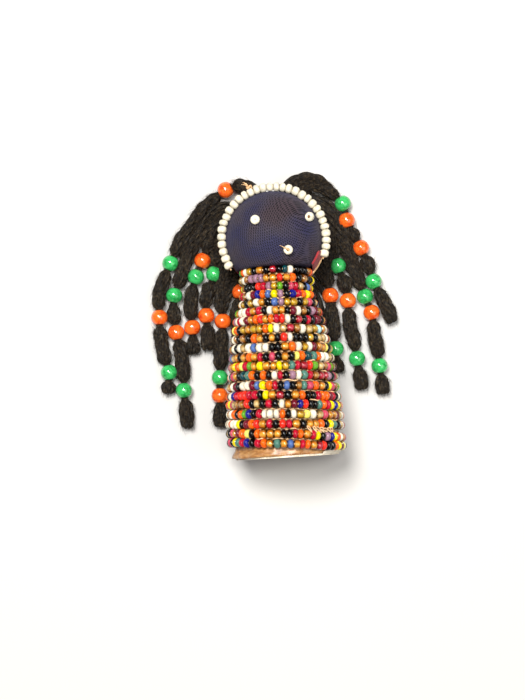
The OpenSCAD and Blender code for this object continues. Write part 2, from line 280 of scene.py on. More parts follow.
def crackle_acrylic(name: str, deep: str, light: str) -> bpy.types.Material:
    """Moulded crackle acrylic: light soaks in, and a web of fine cracks under the gloss breaks it.

    Args:
        name: The material's name.
        deep: The colour in the cracks, in sRGB.
        light: The colour between them, in sRGB.
    """
    recipe = Recipe(
        name, 0.14, ACRYLIC_IOR, Subsurface_Weight=0.35, Subsurface_Radius=(1.0, 0.8, 0.6),
        Subsurface_Scale=1.2 * MM, Coat_Weight=0.6, Coat_Roughness=0.05,
    )
    cracks = recipe.total(recipe.web(0.8), 0.8, recipe.noise(0.45, 4.0))
    return recipe.finish(recipe.ramp(cracks, (0.36, deep), (0.66, light)), cracks, 0.12, 0.3)


def wool(name: str, roughness: float, *tones: str) -> bpy.types.Material:
    """Plied black wool: matt, with a dusty sheen where loose fibres catch the light.

    Args:
        name: The material's name.
        roughness: Its roughness.
        tones: The dark, middle and light of the dyed wool, in sRGB; the loose fibres get lighter
            tones, a painted sheen where they catch the light.
    """
    recipe = Recipe(
        name, roughness, Specular_IOR_Level=0.22, Sheen_Weight=0.05, Sheen_Roughness=0.3,
        Sheen_Tint=linear("#b09c84"),
    )
    tufts = recipe.noise(1.1, 5.0, Roughness=0.75)
    return recipe.finish(recipe.ramp(tufts, *zip((0.32, 0.5, 0.72), tones)), tufts, 0.3, 0.6)


def rib_knit(centre: Vector, rib: float = 0.7) -> bpy.types.Material:
    """Navy stocking knit, stretched round the ball: fine ribs that run in rings from the chin.

    Args:
        centre: The middle of the ball, in metres.
        rib: The distance from one rib to the next, in millimetres, a third wider than real so
            that they show.
    """
    recipe = Recipe(
        "navy stocking knit", 0.7, Sheen_Weight=0.08, Sheen_Tint=linear("#8f8fc0"),
        Specular_IOR_Level=0.25,
    )
    gathered = -centre - Vector((11.6, -1.0, 12.4)) * MM
    swirl = recipe.node("Mapping", {"Vector": recipe.place}, Location=gathered).outputs["Vector"]
    rings = recipe.node(
        "TexWave", {"Vector": swirl}, wave_type="RINGS", rings_direction="SPHERICAL",
        Scale=WAVES_TO_SCALE / (rib * MM), Distortion=2.6, Detail=2.0, Detail_Scale=0.5,
    ).outputs["Fac"]
    grain = recipe.bands(0.62, "DIAGONAL", Distortion=6.0, Detail=3.0, Detail_Scale=0.6)
    knit = recipe.total(rings, 1.1, grain)
    lines = recipe.ramp(knit, (0.0, "#08070d"), (0.62, "#121019"), (1.0, "#403b4a"))
    tint = recipe.ramp(
        recipe.noise(0.075, 3.0), (0.38, "#f0d2bc"), (0.5, "#e6dde0"), (0.62, "#b8bdf0")
    )
    return recipe.finish(recipe.tinted(lines, tint), knit, 0.14, 0.6)


def woven_cotton(
    name: str, roughness: float, dark: str, light: str, thread: float = 0.45
) -> bpy.types.Material:
    """Plain-weave cotton: a matt check of warp and weft, with slubs where the yarn was uneven.

    Args:
        name: The material's name.
        roughness: Its roughness.
        dark: The colour between threads, in sRGB.
        light: The colour on the threads, in sRGB.
        thread: The distance from thread to thread, in millimetres.
    """
    recipe = Recipe(name, roughness, Sheen_Weight=0.15)
    warp, weft = (
        recipe.bands(WAVES_TO_SCALE / thread, way, Distortion=0.6, Detail=1.0) for way in "XZ"
    )
    weave = recipe.node("Math", {0: warp, 1: weft}, operation="MULTIPLY").outputs[0]
    cloth = recipe.total(weave, 0.6, recipe.noise(0.4, 3.0))
    return recipe.finish(recipe.ramp(cloth, (0.25, dark), (0.85, light)), cloth, 0.15, 0.6)


def sewing_thread(name: str, dark: str, light: str) -> bpy.types.Material:
    """Twisted cotton thread: matt, with a fine diagonal twist and painted shade in its folds."""
    recipe = Recipe(name, 0.8)
    twist = recipe.bands(1.0, "DIAGONAL", Distortion=2.0, Detail=1.0)
    # The twist's dark stripes are painted shade in its folds.
    return recipe.finish(recipe.ramp(twist, (0.1, dark), (0.8, light)), twist, 0.06, 0.6)


def gummed_paper() -> bpy.types.Material:
    """Brown gummed paper on card: satin, creased, with painted shade along the creases, and darker
    where the gum soaked in.
    """
    recipe = Recipe("brown gummed paper", 0.42, Coat_Weight=0.3, Coat_Roughness=0.25)
    stretched = recipe.node(
        "Mapping", {"Vector": recipe.place}, Scale=(1.0, 2.6, 1.0)
    ).outputs["Vector"]
    stains = recipe.noise(0.22, 5.0, stretched, Roughness=0.62, Distortion=0.6)
    creases = recipe.web(0.26, stretched)
    colour = recipe.ramp(stains, (0.3, "#7a4f2a"), (0.5, "#a5733f"), (0.7, "#c99a62"))
    # Painted shade: the crease lines are tinted darker.
    fold = recipe.ramp(creases, (0.0, "#e9c493"), (0.05, "#ffffff"))
    height = recipe.total(creases, 0.8, stains)
    return recipe.finish(recipe.tinted(colour, fold, 0.8), height, 0.5, 0.6)


class Workshop:
    """Every finish of the doll, made once."""

    def __init__(self, head_centre: Vector) -> None:
        """Makes the finishes, with the knit gathered round the middle of the head's ball."""
        self.glass = (
            seed_glass("opaque seed glass", 0.12, Specular_IOR_Level=0.38),
            seed_glass(
                "clear seed glass", 0.06, Transmission_Weight=0.2, Coat_Weight=0.5,
                Coat_Roughness=0.03,
            ),
        )
        self.plastic = (
            crackle_acrylic("orange crackle acrylic", "#c93c08", "#f46c22"),
            crackle_acrylic("green crackle acrylic", "#158038", "#3cb45e"),
        )
        self.wool = wool("black wool yarn", 0.62, "#040302", "#140f0a", "#54462f")
        # Lighter tones than the yarn: a painted sheen on the loose fibres.
        self.loose_wool_painted_sheen = wool("loose wool fibres, painted sheen", 0.8, "#0d0a07", "#2a2119", "#6a5944")
        self.knit = rib_knit(head_centre)
        self.red_cotton = woven_cotton("red cotton", 0.9, "#5e0d12", "#a3242a")
        self.cream_cotton = woven_cotton("cream cotton", 0.9, "#b8a888", "#efe4cf")
        self.peach_thread = sewing_thread("peach cotton thread", "#c98f55", "#f2cf9e")
        self.brown_thread = sewing_thread("brown cotton thread", "#4a2a14", "#9a6534")
        self.paper = gummed_paper()
        self.wadding = woven_cotton("cotton wadding", 0.95, "#cfc6b2", "#f4efe2", 1.6)


# ---------------------------------------------------------------- seed beads


class Glass(Enum):
    """The seed beads in the mix: a letter for the order, an sRGB colour, and whether clear."""

    CREAM = ("w", "#eae0c6", False)
    BLACK = ("k", "#050303", False)
    AMBER = ("a", "#db7a08", True)
    GOLD = ("g", "#c28404", True)
    BROWN = ("n", "#a0560c", True)
    TAN = ("t", "#cfa050", True)
    ORANGE = ("o", "#f2600e", False)
    RED = ("r", "#f02c1c", False)
    CRIMSON = ("c", "#b5102a", False)
    RUBY = ("u", "#a80812", True)
    MAROON = ("m", "#6d1424", False)
    YELLOW = ("y", "#f5d800", False)
    LEMON = ("l", "#f4e66a", False)
    ROYAL = ("b", "#17197c", False)
    SKY = ("s", "#4c67a0", False)
    AQUA = ("q", "#a8d2d4", False)
    SAGE = ("e", "#4e7a6a", False)
    TEAL = ("d", "#0a3a40", False)
    LIME = ("i", "#5f9a1e", False)
    MAUVE = ("p", "#987080", False)
    ROSE = ("f", "#c24358", False)

    @property
    def letter(self) -> str:
        """The letter that stands for it in a stringing order."""
        return self.value[0]

    @property
    def colour(self) -> tuple[float, float, float, float]:
        """Its linear colour."""
        return linear(self.value[1])

    @property
    def clear(self) -> bool:
        """Whether light goes through it."""
        return self.value[2]

    def at(self, place: Vector, half: float) -> Vector:
        """The linear colour at a place on the bead: a clear bead gets a painted highlight along its
        outer line and painted shade on its flanks and ends.

        Args:
            place: The place in the bead's own frame, with the way out along X and the hole along Z.
            half: Half the bead's length.
        """
        colour = Vector(self.colour)
        if self.clear:
            # Painted light: painted shade darkens the flanks and the ends, and a painted highlight
            # runs along the outer line.
            out = place.x / max(math.hypot(place.x, place.y), 1e-9)
            end = smooth_step(0.7, 1.0, abs(place.z) / half)
            shade = (0.2 + 0.8 * smooth_step(0.4, 0.95, out)) * (1 - 0.5 * end)
            painted_highlight = smooth_step(0.84, 1.0, out) * (1 - 0.5 * end)
            highlight_colour = Vector([channel**0.5 for channel in colour])
            colour = colour * shade * (1 - painted_highlight) + highlight_colour * painted_highlight
            colour.w = 1.0
        return colour


GLASS_BY_LETTER = {glass.letter: glass for glass in Glass}


@dataclass
class SeedBead:
    """One seed bead: a short drawn tube with tumbled ends.

    Attributes:
        radius: Outer radius.
        length: Length along the thread.
        hole: Radius of the hole.
        sides: Flats round it.
    """

    radius: float = 1.55
    length: float = 2.0
    hole: float = 0.5
    sides: int = 12
    meshes: dict[bool, bpy.types.Mesh] = field(default_factory=dict)

    def profile(self, clear: bool) -> list[tuple[float, float]]:
        """Half section, as radius and height: clear beads are cut squarer than opaque ones."""
        half = self.length / 2
        end, flat = (1.12, 0.62) if clear else (0.98, 0.46)
        return [
            (self.hole, -0.62 * half), (end, -half), (self.radius, -flat * half),
            (1.01 * self.radius, 0.0), (self.radius, flat * half), (end, half),
            (self.hole, 0.62 * half),
        ]

    def mesh(self, clear: bool) -> bpy.types.Mesh:
        """Spins the section of one cut about Z, in metres, and keeps it."""
        if clear not in self.meshes:
            bm = bmesh.new()
            spin_section(bm, self.profile(clear), self.sides)
            bmesh.ops.remove_doubles(bm, verts=bm.verts, dist=0.001 * MM)
            bmesh.ops.recalc_face_normals(bm, faces=bm.faces)
            made = bpy.data.meshes.new("seed bead clear" if clear else "seed bead opaque")
            bm.to_mesh(made)
            bm.free()
            self.meshes[clear] = made
        return self.meshes[clear]

    def string(self, bm: bmesh.types.BMesh, place: Matrix, glass: Glass) -> None:
        """Adds a bead to a row's mesh, with its hole along the Z of its place."""
        before, faces = len(bm.verts), len(bm.faces)
        bm.from_mesh(self.mesh(glass.clear))
        bm.verts.ensure_lookup_table()
        bm.faces.ensure_lookup_table()
        new = bm.verts[before:]
        layer = bm.verts.layers.float_color[GLASS_AND_PAINTED_LIGHT_LAYER]
        for vert in new:
            # The glass colour, with a painted highlight and painted shade on clear beads.
            vert[layer] = glass.at(vert.co, self.length / 2 * MM)
        bmesh.ops.transform(bm, matrix=place, verts=new)
        for face in bm.faces[faces:]:
            face.material_index = int(glass.clear)
            face.smooth = True


def new_row_mesh() -> bmesh.types.BMesh:
    """Starts a mesh of strung beads, with its colour layer."""
    bm = bmesh.new()
    bm.verts.layers.float_color.new(GLASS_AND_PAINTED_LIGHT_LAYER)
    return bm


def frame_of(hole: Vector, outward: Vector, centre: Vector) -> Matrix:
    """The place of a bead: its hole's direction, the way out from the body, and its centre."""
    across = hole.cross(outward).normalized()
    out = across.cross(hole).normalized()
    return Matrix.Translation(centre) @ Matrix((out, across, hole.normalized())).transposed().to_4x4()


# ---------------------------------------------------------------- body


@dataclass
class BeadedBody:
    """The strung rows, the thread that couches them, the paper sleeve and the foot cloth.

    Each row's order runs over the face side from left to right, with | at its middle. The back
    is strung from the same mix.

    Attributes:
        bead: The seed bead.
        lean: How much the strings slope down to the right, in degrees, at the foot.
        settled: How far each string has slid from its even place towards the neck.
        proud: How far the crowded strings by the neck stand out from the rest.
        sags: How far the loose strings at the foot hang down on the right.
        thread_r: Radius of the thread in the rows.
        couching_r: Radius of the thread between the rows.
        stitches: Waves of that thread in a turn.
        loose_loops: Loops of loose thread on the right.
        loose_between: The two rows that the loops lie between.
        loop_r: Radius of their thread.
        cloth: Thickness of the foot cloth.
        frays: Loose cotton ends along the foot cloth's rim.
        orders: The face side of each row.
    """

    shop: Workshop
    bead: SeedBead
    lean: float = 3.6
    seed: int = 11
    thread_r: float = 0.4
    couching_r: float = 0.22
    stitches: int = 26
    loose_loops: int = 7
    loose_between: tuple[int, int] = (17, 18)
    loop_r: float = 0.2
    cloth: float = 0.6
    frays: int = 150
    settled: tuple[float, ...] = (
        -1.3, -1.0, -0.6, 0.0, 0.4, 0.4, 0.6, 0.6, 0.7, 0.7,
        0.6, 0.6, 0.5, 0.2, 0.1, 0.3, 0.1, 0.0, 0.0, -0.1,
    )
    proud: tuple[float, ...] = (-0.1, 0.25, -0.35, 0.3, -0.1)
    sags: dict[int, float] = field(default_factory=lambda: {18: -1.0, 19: -0.7})
    orders: tuple[str, ...] = (
        "gkaku|kdwkkkn",
        "wnpppaa|raoknkky",
        "nkkkrcpg|ikfctks",
        "nwmbosy|pkbcoyok",
        "wgkgwaks|pggkgfkt",
        "awwcackwa|akmwnkpmn",
        "wcwmaoraoc|rwkukckmm",
        "okgaggoyw|tunwtgqawn",
        "nknkoakak|rwkkkgkttw",
        "wkwtwswwkk|aowgwmaalkt",
        "stakaoackfk|aklodeowwtmw",
        "yolciayaay|gecuritnfink",
        "wdfakdeokokwc|kpwecnuupkf",
        "awmkwwmsyock|sknefoakyfn",
        "wbcrrcckyau|kaokkcoomc",
        "ftnnrktkckw|ambrkkeocybyn",
        "wokoibkcwwwo|kwglwtfaamtw",
        "wowwykmorackr|cakaaokyektw",
        "famolkoaaak|kcoacykpbyowaf",
        "fkyecbkcoaea|sacoaurkkoym",
    )

    def __post_init__(self) -> None:
        """Reads the rows' places and radii from the frame."""
        boxes = [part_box(name) for name in ROW_NAMES]
        self.rows = [((low.y + high.y) / 2, high.x) for low, high in boxes]
        low, high = boxes[-1]
        self.axis_z = (low.z + high.z) / 2
        self.foot_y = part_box("foot_cloth")[0].y
        self.random = random.Random(self.seed)

    def radius_at(self, y: float) -> float:
        """Radius over the beads at a height along the body, in metres."""
        rows = self.rows
        if y >= rows[0][0]:
            return rows[0][1]
        for (y1, r1), (y0, r0) in zip(rows, rows[1:]):
            if y >= y0:
                return r0 + (r1 - r0) * (y - y0) / (y1 - y0)
        return rows[-1][1]

    def slump(self, row: int, angle: float) -> float:
        """How far a string lies from level, in metres, at an angle right of the face's middle."""
        x = self.rows[row][1] * math.sin(angle)
        share = 0.45 + 0.55 * row / (len(self.rows) - 1)
        lean = -math.tan(math.radians(self.lean * share)) * x
        waves = noise.noise(Vector((1.4 * math.sin(angle), 1.4 * math.cos(angle), row * 0.37)))
        right_side = smooth_step(0.25, 0.8, angle) * smooth_step(2.6, 1.9, angle)
        sag = self.sags.get(row, 0.0) * right_side
        return lean + (self.settled[row] + 0.35 * waves + sag) * MM

    def place(self, row: int, angle: float, out: float = 0.0) -> tuple[Vector, Vector]:
        """A point on a row's thread, and the way out from the body there.

        Args:
            row: The row, from 0 at the neck.
            angle: Radians right of the face's middle.
            out: Metres further out than the thread.
        """
        y = self.rows[row][0] + self.slump(row, angle)
        stands = self.proud[row] * MM if row < len(self.proud) else 0.0
        radius = self.radius_at(y) - self.bead.radius * MM + out + stands
        outward = way_round(angle)
        return Vector((0, y, self.axis_z)) + outward * radius, outward

    def strung(self, row: int) -> list[tuple[float, float, Glass]]:
        """Strings a row: for each bead its angle, its length in metres and its glass."""
        left, right = self.orders[row].split("|")
        mix = "".join(self.orders).replace("|", "")
        ring = math.tau * (self.rows[row][1] - self.bead.radius * MM)
        letters = list(left + right)
        lengths = [self.bead_length(letter) for letter in letters]
        while sum(lengths) < ring - self.bead.length * MM / 2:
            letters.append(self.random.choice(mix))
            lengths.append(self.bead_length(letters[-1]))
        fit = ring / sum(lengths)
        start = -sum(lengths[: len(left)])
        beads = []
        for letter, length in zip(letters, lengths):
            angle = (start + length / 2) / sum(lengths) * math.tau
            beads.append((angle, length * fit, GLASS_BY_LETTER[letter]))
            start += length
        return beads

    def bead_length(self, letter: str) -> float:
        """A bead's length in metres. Clear beads were cut longer, and no two are the same."""
        usual = 1.12 if GLASS_BY_LETTER[letter].clear else 1.0
        return self.bead.length * MM * usual * self.random.uniform(0.86, 1.2)

    def string_rows(self) -> None:
        """Makes the twenty rows."""
        for row, name in enumerate(ROW_NAMES):
            bm = new_row_mesh()
            for angle, length, glass in self.strung(row):
                wobble = Vector([self.random.uniform(-0.1, 0.1) for _ in range(3)])
                centre, outward = self.place(row, angle, self.random.uniform(-0.16, 0.06) * MM)
                ahead, behind = (self.place(row, angle + step)[0] for step in (0.03, -0.03))
                hole = (ahead - behind).normalized() + wobble
                girth = self.random.uniform(0.96, 1.05) * (1.02 if glass is Glass.CREAM else 1.0)
                girth *= 0.93 if row < len(self.proud) else 1.0
                size = Matrix.Diagonal((girth, girth, length / (self.bead.length * MM) * 0.97, 1))
                # Kept small so that the painted highlight and painted shade stay about on the bead's
                # outer side.
                turn = Matrix.Rotation(self.random.uniform(-0.25, 0.25), 4, "Z")
                self.bead.string(bm, frame_of(hole, outward, centre) @ turn @ size, glass)
            piece = new_piece(name.replace("bead_row", "strung_row"), bm)
            dress(piece, self.shop.glass, "doll", "seed_bead", name)

    def thread_rows(self) -> None:
        """Makes the thread in each row and the couching stitches that show between rows."""
        tubes = Tubes("row_threads_sewn")
        for row in range(len(self.rows)):
            line = [self.place(row, angle)[0] for angle in turn_in(120)]
            tubes.add(line, self.thread_r, closed=True)
        for row in range(len(self.rows) - 1):
            line = []
            for angle in turn_in(200):
                upper, outward = self.place(row, angle)
                lower, _ = self.place(row + 1, angle)
                height = noise.noise(Vector((4 * math.sin(angle), 4 * math.cos(angle), row * 1.7)))
                out = (-1.0 + 1.7 * smooth_step(0.34, 0.54, height)) * MM
                stitch = 0.2 * math.sin(angle * self.stitches + row) * MM
                line.append((upper + lower) / 2 + outward * out + Vector((0, stitch, 0)))
            tubes.add(line, self.couching_r, closed=True)
        upper_row, lower_row = self.loose_between
        for turn in range(self.loose_loops):
            angle = 0.42 + 0.075 * turn + self.random.uniform(-0.02, 0.02)
            wide, tall = self.random.uniform(0.5, 1.1), self.random.uniform(0.6, 1.15)
            upper, outward = self.place(upper_row, angle)
            lower, _ = self.place(lower_row, angle)
            middle = (upper + lower) / 2 + outward * 0.9 * MM
            loop = [
                middle
                + Vector((math.cos(angle), 0, -math.sin(angle))) * wide * MM * math.cos(t + tall)
                + Vector((0, tall * MM * math.sin(t), 0)) + outward * 0.35 * MM * math.sin(2 * t)
                for t in turn_in(12)
            ]
            tubes.add(loop, self.loop_r, closed=True)
        piece = tubes.finish()
        dress(piece, (self.shop.peach_thread,), "doll", "thread", "row_threads")

    def roll_sleeve(self) -> None:
        """Rolls the creased paper sleeve, from the foot cloth up to the neck."""
        low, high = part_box("card_sleeve")
        foot_r = high.x
        steps = 128
        band = [0.0, 0.7, 1.4, 2.1, 2.8, 3.5, 4.3]
        heights = [low.y + h * MM for h in band]
        heights += [y for y, _ in reversed(self.rows[:-1])] + [high.y]
        bm = bmesh.new()
        ring = bmesh.ops.create_circle(
            bm, segments=steps, radius=foot_r, matrix=self.turned(heights[0])
        )["verts"]
        edges = list({edge for vert in ring for edge in vert.link_edges})
        for y in heights[1:]:
            grown = bmesh.ops.extrude_edge_only(bm, edges=edges)["geom"]
            edges = [g for g in grown if isinstance(g, bmesh.types.BMEdge)]
            for vert in {v for edge in edges for v in edge.verts}:
                vert.co.y = y
        for vert in bm.verts:
            out = Vector((vert.co.x, 0, vert.co.z - self.axis_z)).normalized()
            place = vert.co * 260
            ridge = abs(noise.noise(Vector((place.x, place.y * 0.8, place.z))))
            wanted = min(foot_r, self.radius_at(vert.co.y) - 2 * self.bead.radius * MM - 0.2 * MM)
            crease = (0.45 - 1.3 * ridge) * MM if vert.co.y < self.rows[-1][0] else -0.2 * MM
            torn = smooth_step(low.y + 3.4 * MM, low.y, vert.co.y) * smooth_step(0.2, -0.9, out.x)
            radius = wanted + min(crease, 0.3 * MM) + 1.5 * MM * torn
            vert.co = Vector((0, vert.co.y, self.axis_z)) + out * radius
        bmesh.ops.recalc_face_normals(bm, faces=bm.faces)
        piece = new_piece("paper_sleeve", bm)
        thicken(piece, 0.8, -1)
        dress(piece, (self.shop.paper,), "doll", "card", "card_sleeve")

    def turned(self, y: float) -> Matrix:
        """A circle's matrix, so that it stands across the body at y."""
        return Matrix.Translation((0, y, self.axis_z)) @ Matrix.Rotation(math.pi / 2, 4, "X")

    def close_foot(self) -> None:
        """Closes the foot with cream cloth, frayed at its rim, with a loose corner on the right."""
        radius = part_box("card_sleeve")[1].x
        bm = bmesh.new()
        disc = bmesh.ops.create_circle(
            bm, cap_ends=True, segments=96, radius=radius, matrix=self.turned(self.foot_y)
        )["verts"]
        lifted = bmesh.ops.extrude_face_region(bm, geom=list(bm.faces))["geom"]
        top = [g for g in lifted if isinstance(g, bmesh.types.BMVert)]
        bmesh.ops.translate(bm, vec=(0, self.cloth * MM, 0), verts=top)
        for vert in bm.verts:
            out = Vector((vert.co.x, 0, vert.co.z - self.axis_z))
            if out.length > radius / 2:
                ragged = noise.noise(vert.co * 900) * 0.35 + 0.2
                vert.co += out.normalized() * ragged * MM
        bmesh.ops.recalc_face_normals(bm, faces=bm.faces)
        piece = new_piece("foot_cloth_disc", bm, smooth=False)
        dress(piece, (self.shop.cream_cotton,), "doll", "cream_cloth", "foot_cloth")
        corner = self.loose_corner(radius)
        self.fray(radius)

    def loose_corner(self, radius: float) -> bpy.types.Object:
        """The cloth's loose corner: a creased flap folded out over the sleeve on the right."""
        tip = 0.62
        bm = bmesh.new()
        bmesh.ops.create_grid(bm, x_segments=16, y_segments=8, size=0.5)
        for vert in bm.verts:
            along, out = vert.co.x + 0.5, vert.co.y + 0.5
            before_tip = (tip - along) / tip
            after_tip = (along - tip) / 0.5
            peak = 1 - max(before_tip, after_tip)
            reach = (0.7 + 2.4 * peak) * out * MM
            crease = 0.25 * math.sin(along * 9 + 1.2) * out
            way = way_round(0.72 + 0.72 * along)
            y = self.foot_y + (0.3 + (0.6 + 2.7 * peak) * out + crease) * MM
            vert.co = Vector((0, y, self.axis_z)) + way * (radius + 0.2 * MM + reach)
        bmesh.ops.recalc_face_normals(bm, faces=bm.faces)
        piece = new_piece("foot_cloth_corner", bm)
        thicken(piece, 0.25, 0)
        return dress(piece, (self.shop.cream_cotton,), "doll", "cream_cloth")

    def fray(self, radius: float) -> bpy.types.Object:
        """Loose cotton ends along the cloth's rim."""
        tubes = Tubes("foot_cloth_fray")
        for _ in range(self.frays):
            way = way_round(self.random.uniform(0, math.tau))
            start = Vector((0, self.foot_y + 0.4 * MM, self.axis_z)) + way * radius
            side = Vector((way.z, 0, -way.x)) * self.random.uniform(-1.2, 1.2) * MM
            up = Vector((0, self.random.uniform(-0.1, 1.0), 0)) * MM
            reach = self.random.uniform(0.3, 0.8) * MM
            middle = start + way * reach * 0.6 + side * 0.5
            tubes.add([start, middle, start + way * reach + side + up], 0.07, taper=True)
        return dress(tubes.finish(), (self.shop.cream_cotton,), "doll", "cream_cloth")

    def build(self) -> None:
        """Makes the whole body."""
        self.string_rows()
        self.thread_rows()
        self.roll_sleeve()
        self.close_foot()
        fill_out("core_stuffing", self.shop.wadding)


# ---------------------------------------------------------------- tubes


class Tubes:
    """Threads and yarns of one piece, swept along their lines and made one mesh."""

    def __init__(self, name: str, flats: int = 1) -> None:
        """Starts the piece.

        Args:
            name: Its name.
            flats: Bevel resolution: 0 gives 4 sides and 1 gives 8 sides.
        """
        self.name = name
        self.curves: dict[float, bpy.types.Curve] = {}
        self.flats = flats

    def add(
        self, line: Sequence[Vector], radius: float, closed: bool = False, taper: bool = False,
        radii: Sequence[float] | None = None, tilts: Sequence[float] | None = None,
    ) -> None:
        """Adds a tube.

        Args:
            line: Its centreline, in metres.
            radius: Its radius in millimetres.
            closed: Whether it is a loop.
            taper: Whether it thins out to its end.
            radii: A share of the radius at each point.
            tilts: The twist at each point, in radians.
        """
        curve = self.curves.get(radius)
        if curve is None:
            curve = bpy.data.curves.new(self.name, "CURVE")
            curve.dimensions = "3D"
            curve.bevel_depth = radius * MM
            curve.bevel_resolution = self.flats
            curve.use_fill_caps = True
            self.curves[radius] = curve
        spline = curve.splines.new("POLY")
        spline.points.add(len(line) - 1)
        spline.points.foreach_set("co", [value for p in line for value in (*p, 1.0)])
        spline.use_cyclic_u = closed
        if taper:
            radii = [1 - 0.8 * k / (len(line) - 1) for k in range(len(line))]
        if radii is not None:
            spline.points.foreach_set("radius", list(radii))
        if tilts is not None:
            spline.points.foreach_set("tilt", list(tilts))

    def shape(self, radius: float, profile: bpy.types.Object) -> None:
        """Gives the tubes of one radius a profile of their own."""
        self.curves[radius].bevel_mode = "OBJECT"
        self.curves[radius].bevel_object = profile

    def finish(self) -> bpy.types.Object:
        """Turns the curves into one mesh object."""
        bm = bmesh.new()
        for curve in self.curves.values():
            maker = bpy.data.objects.new("maker", curve)
            bpy.context.scene.collection.objects.link(maker)
            bpy.context.view_layer.update()
            mesh = bpy.data.meshes.new_from_object(
                maker.evaluated_get(bpy.context.evaluated_depsgraph_get())
            )
            bm.from_mesh(mesh)
            bpy.data.meshes.remove(mesh)
            bpy.data.objects.remove(maker)
            bpy.data.curves.remove(curve)
        bmesh.ops.remove_doubles(bm, verts=bm.verts, dist=0.0005 * MM)
        return new_piece(self.name, bm)


# ---------------------------------------------------------------- head


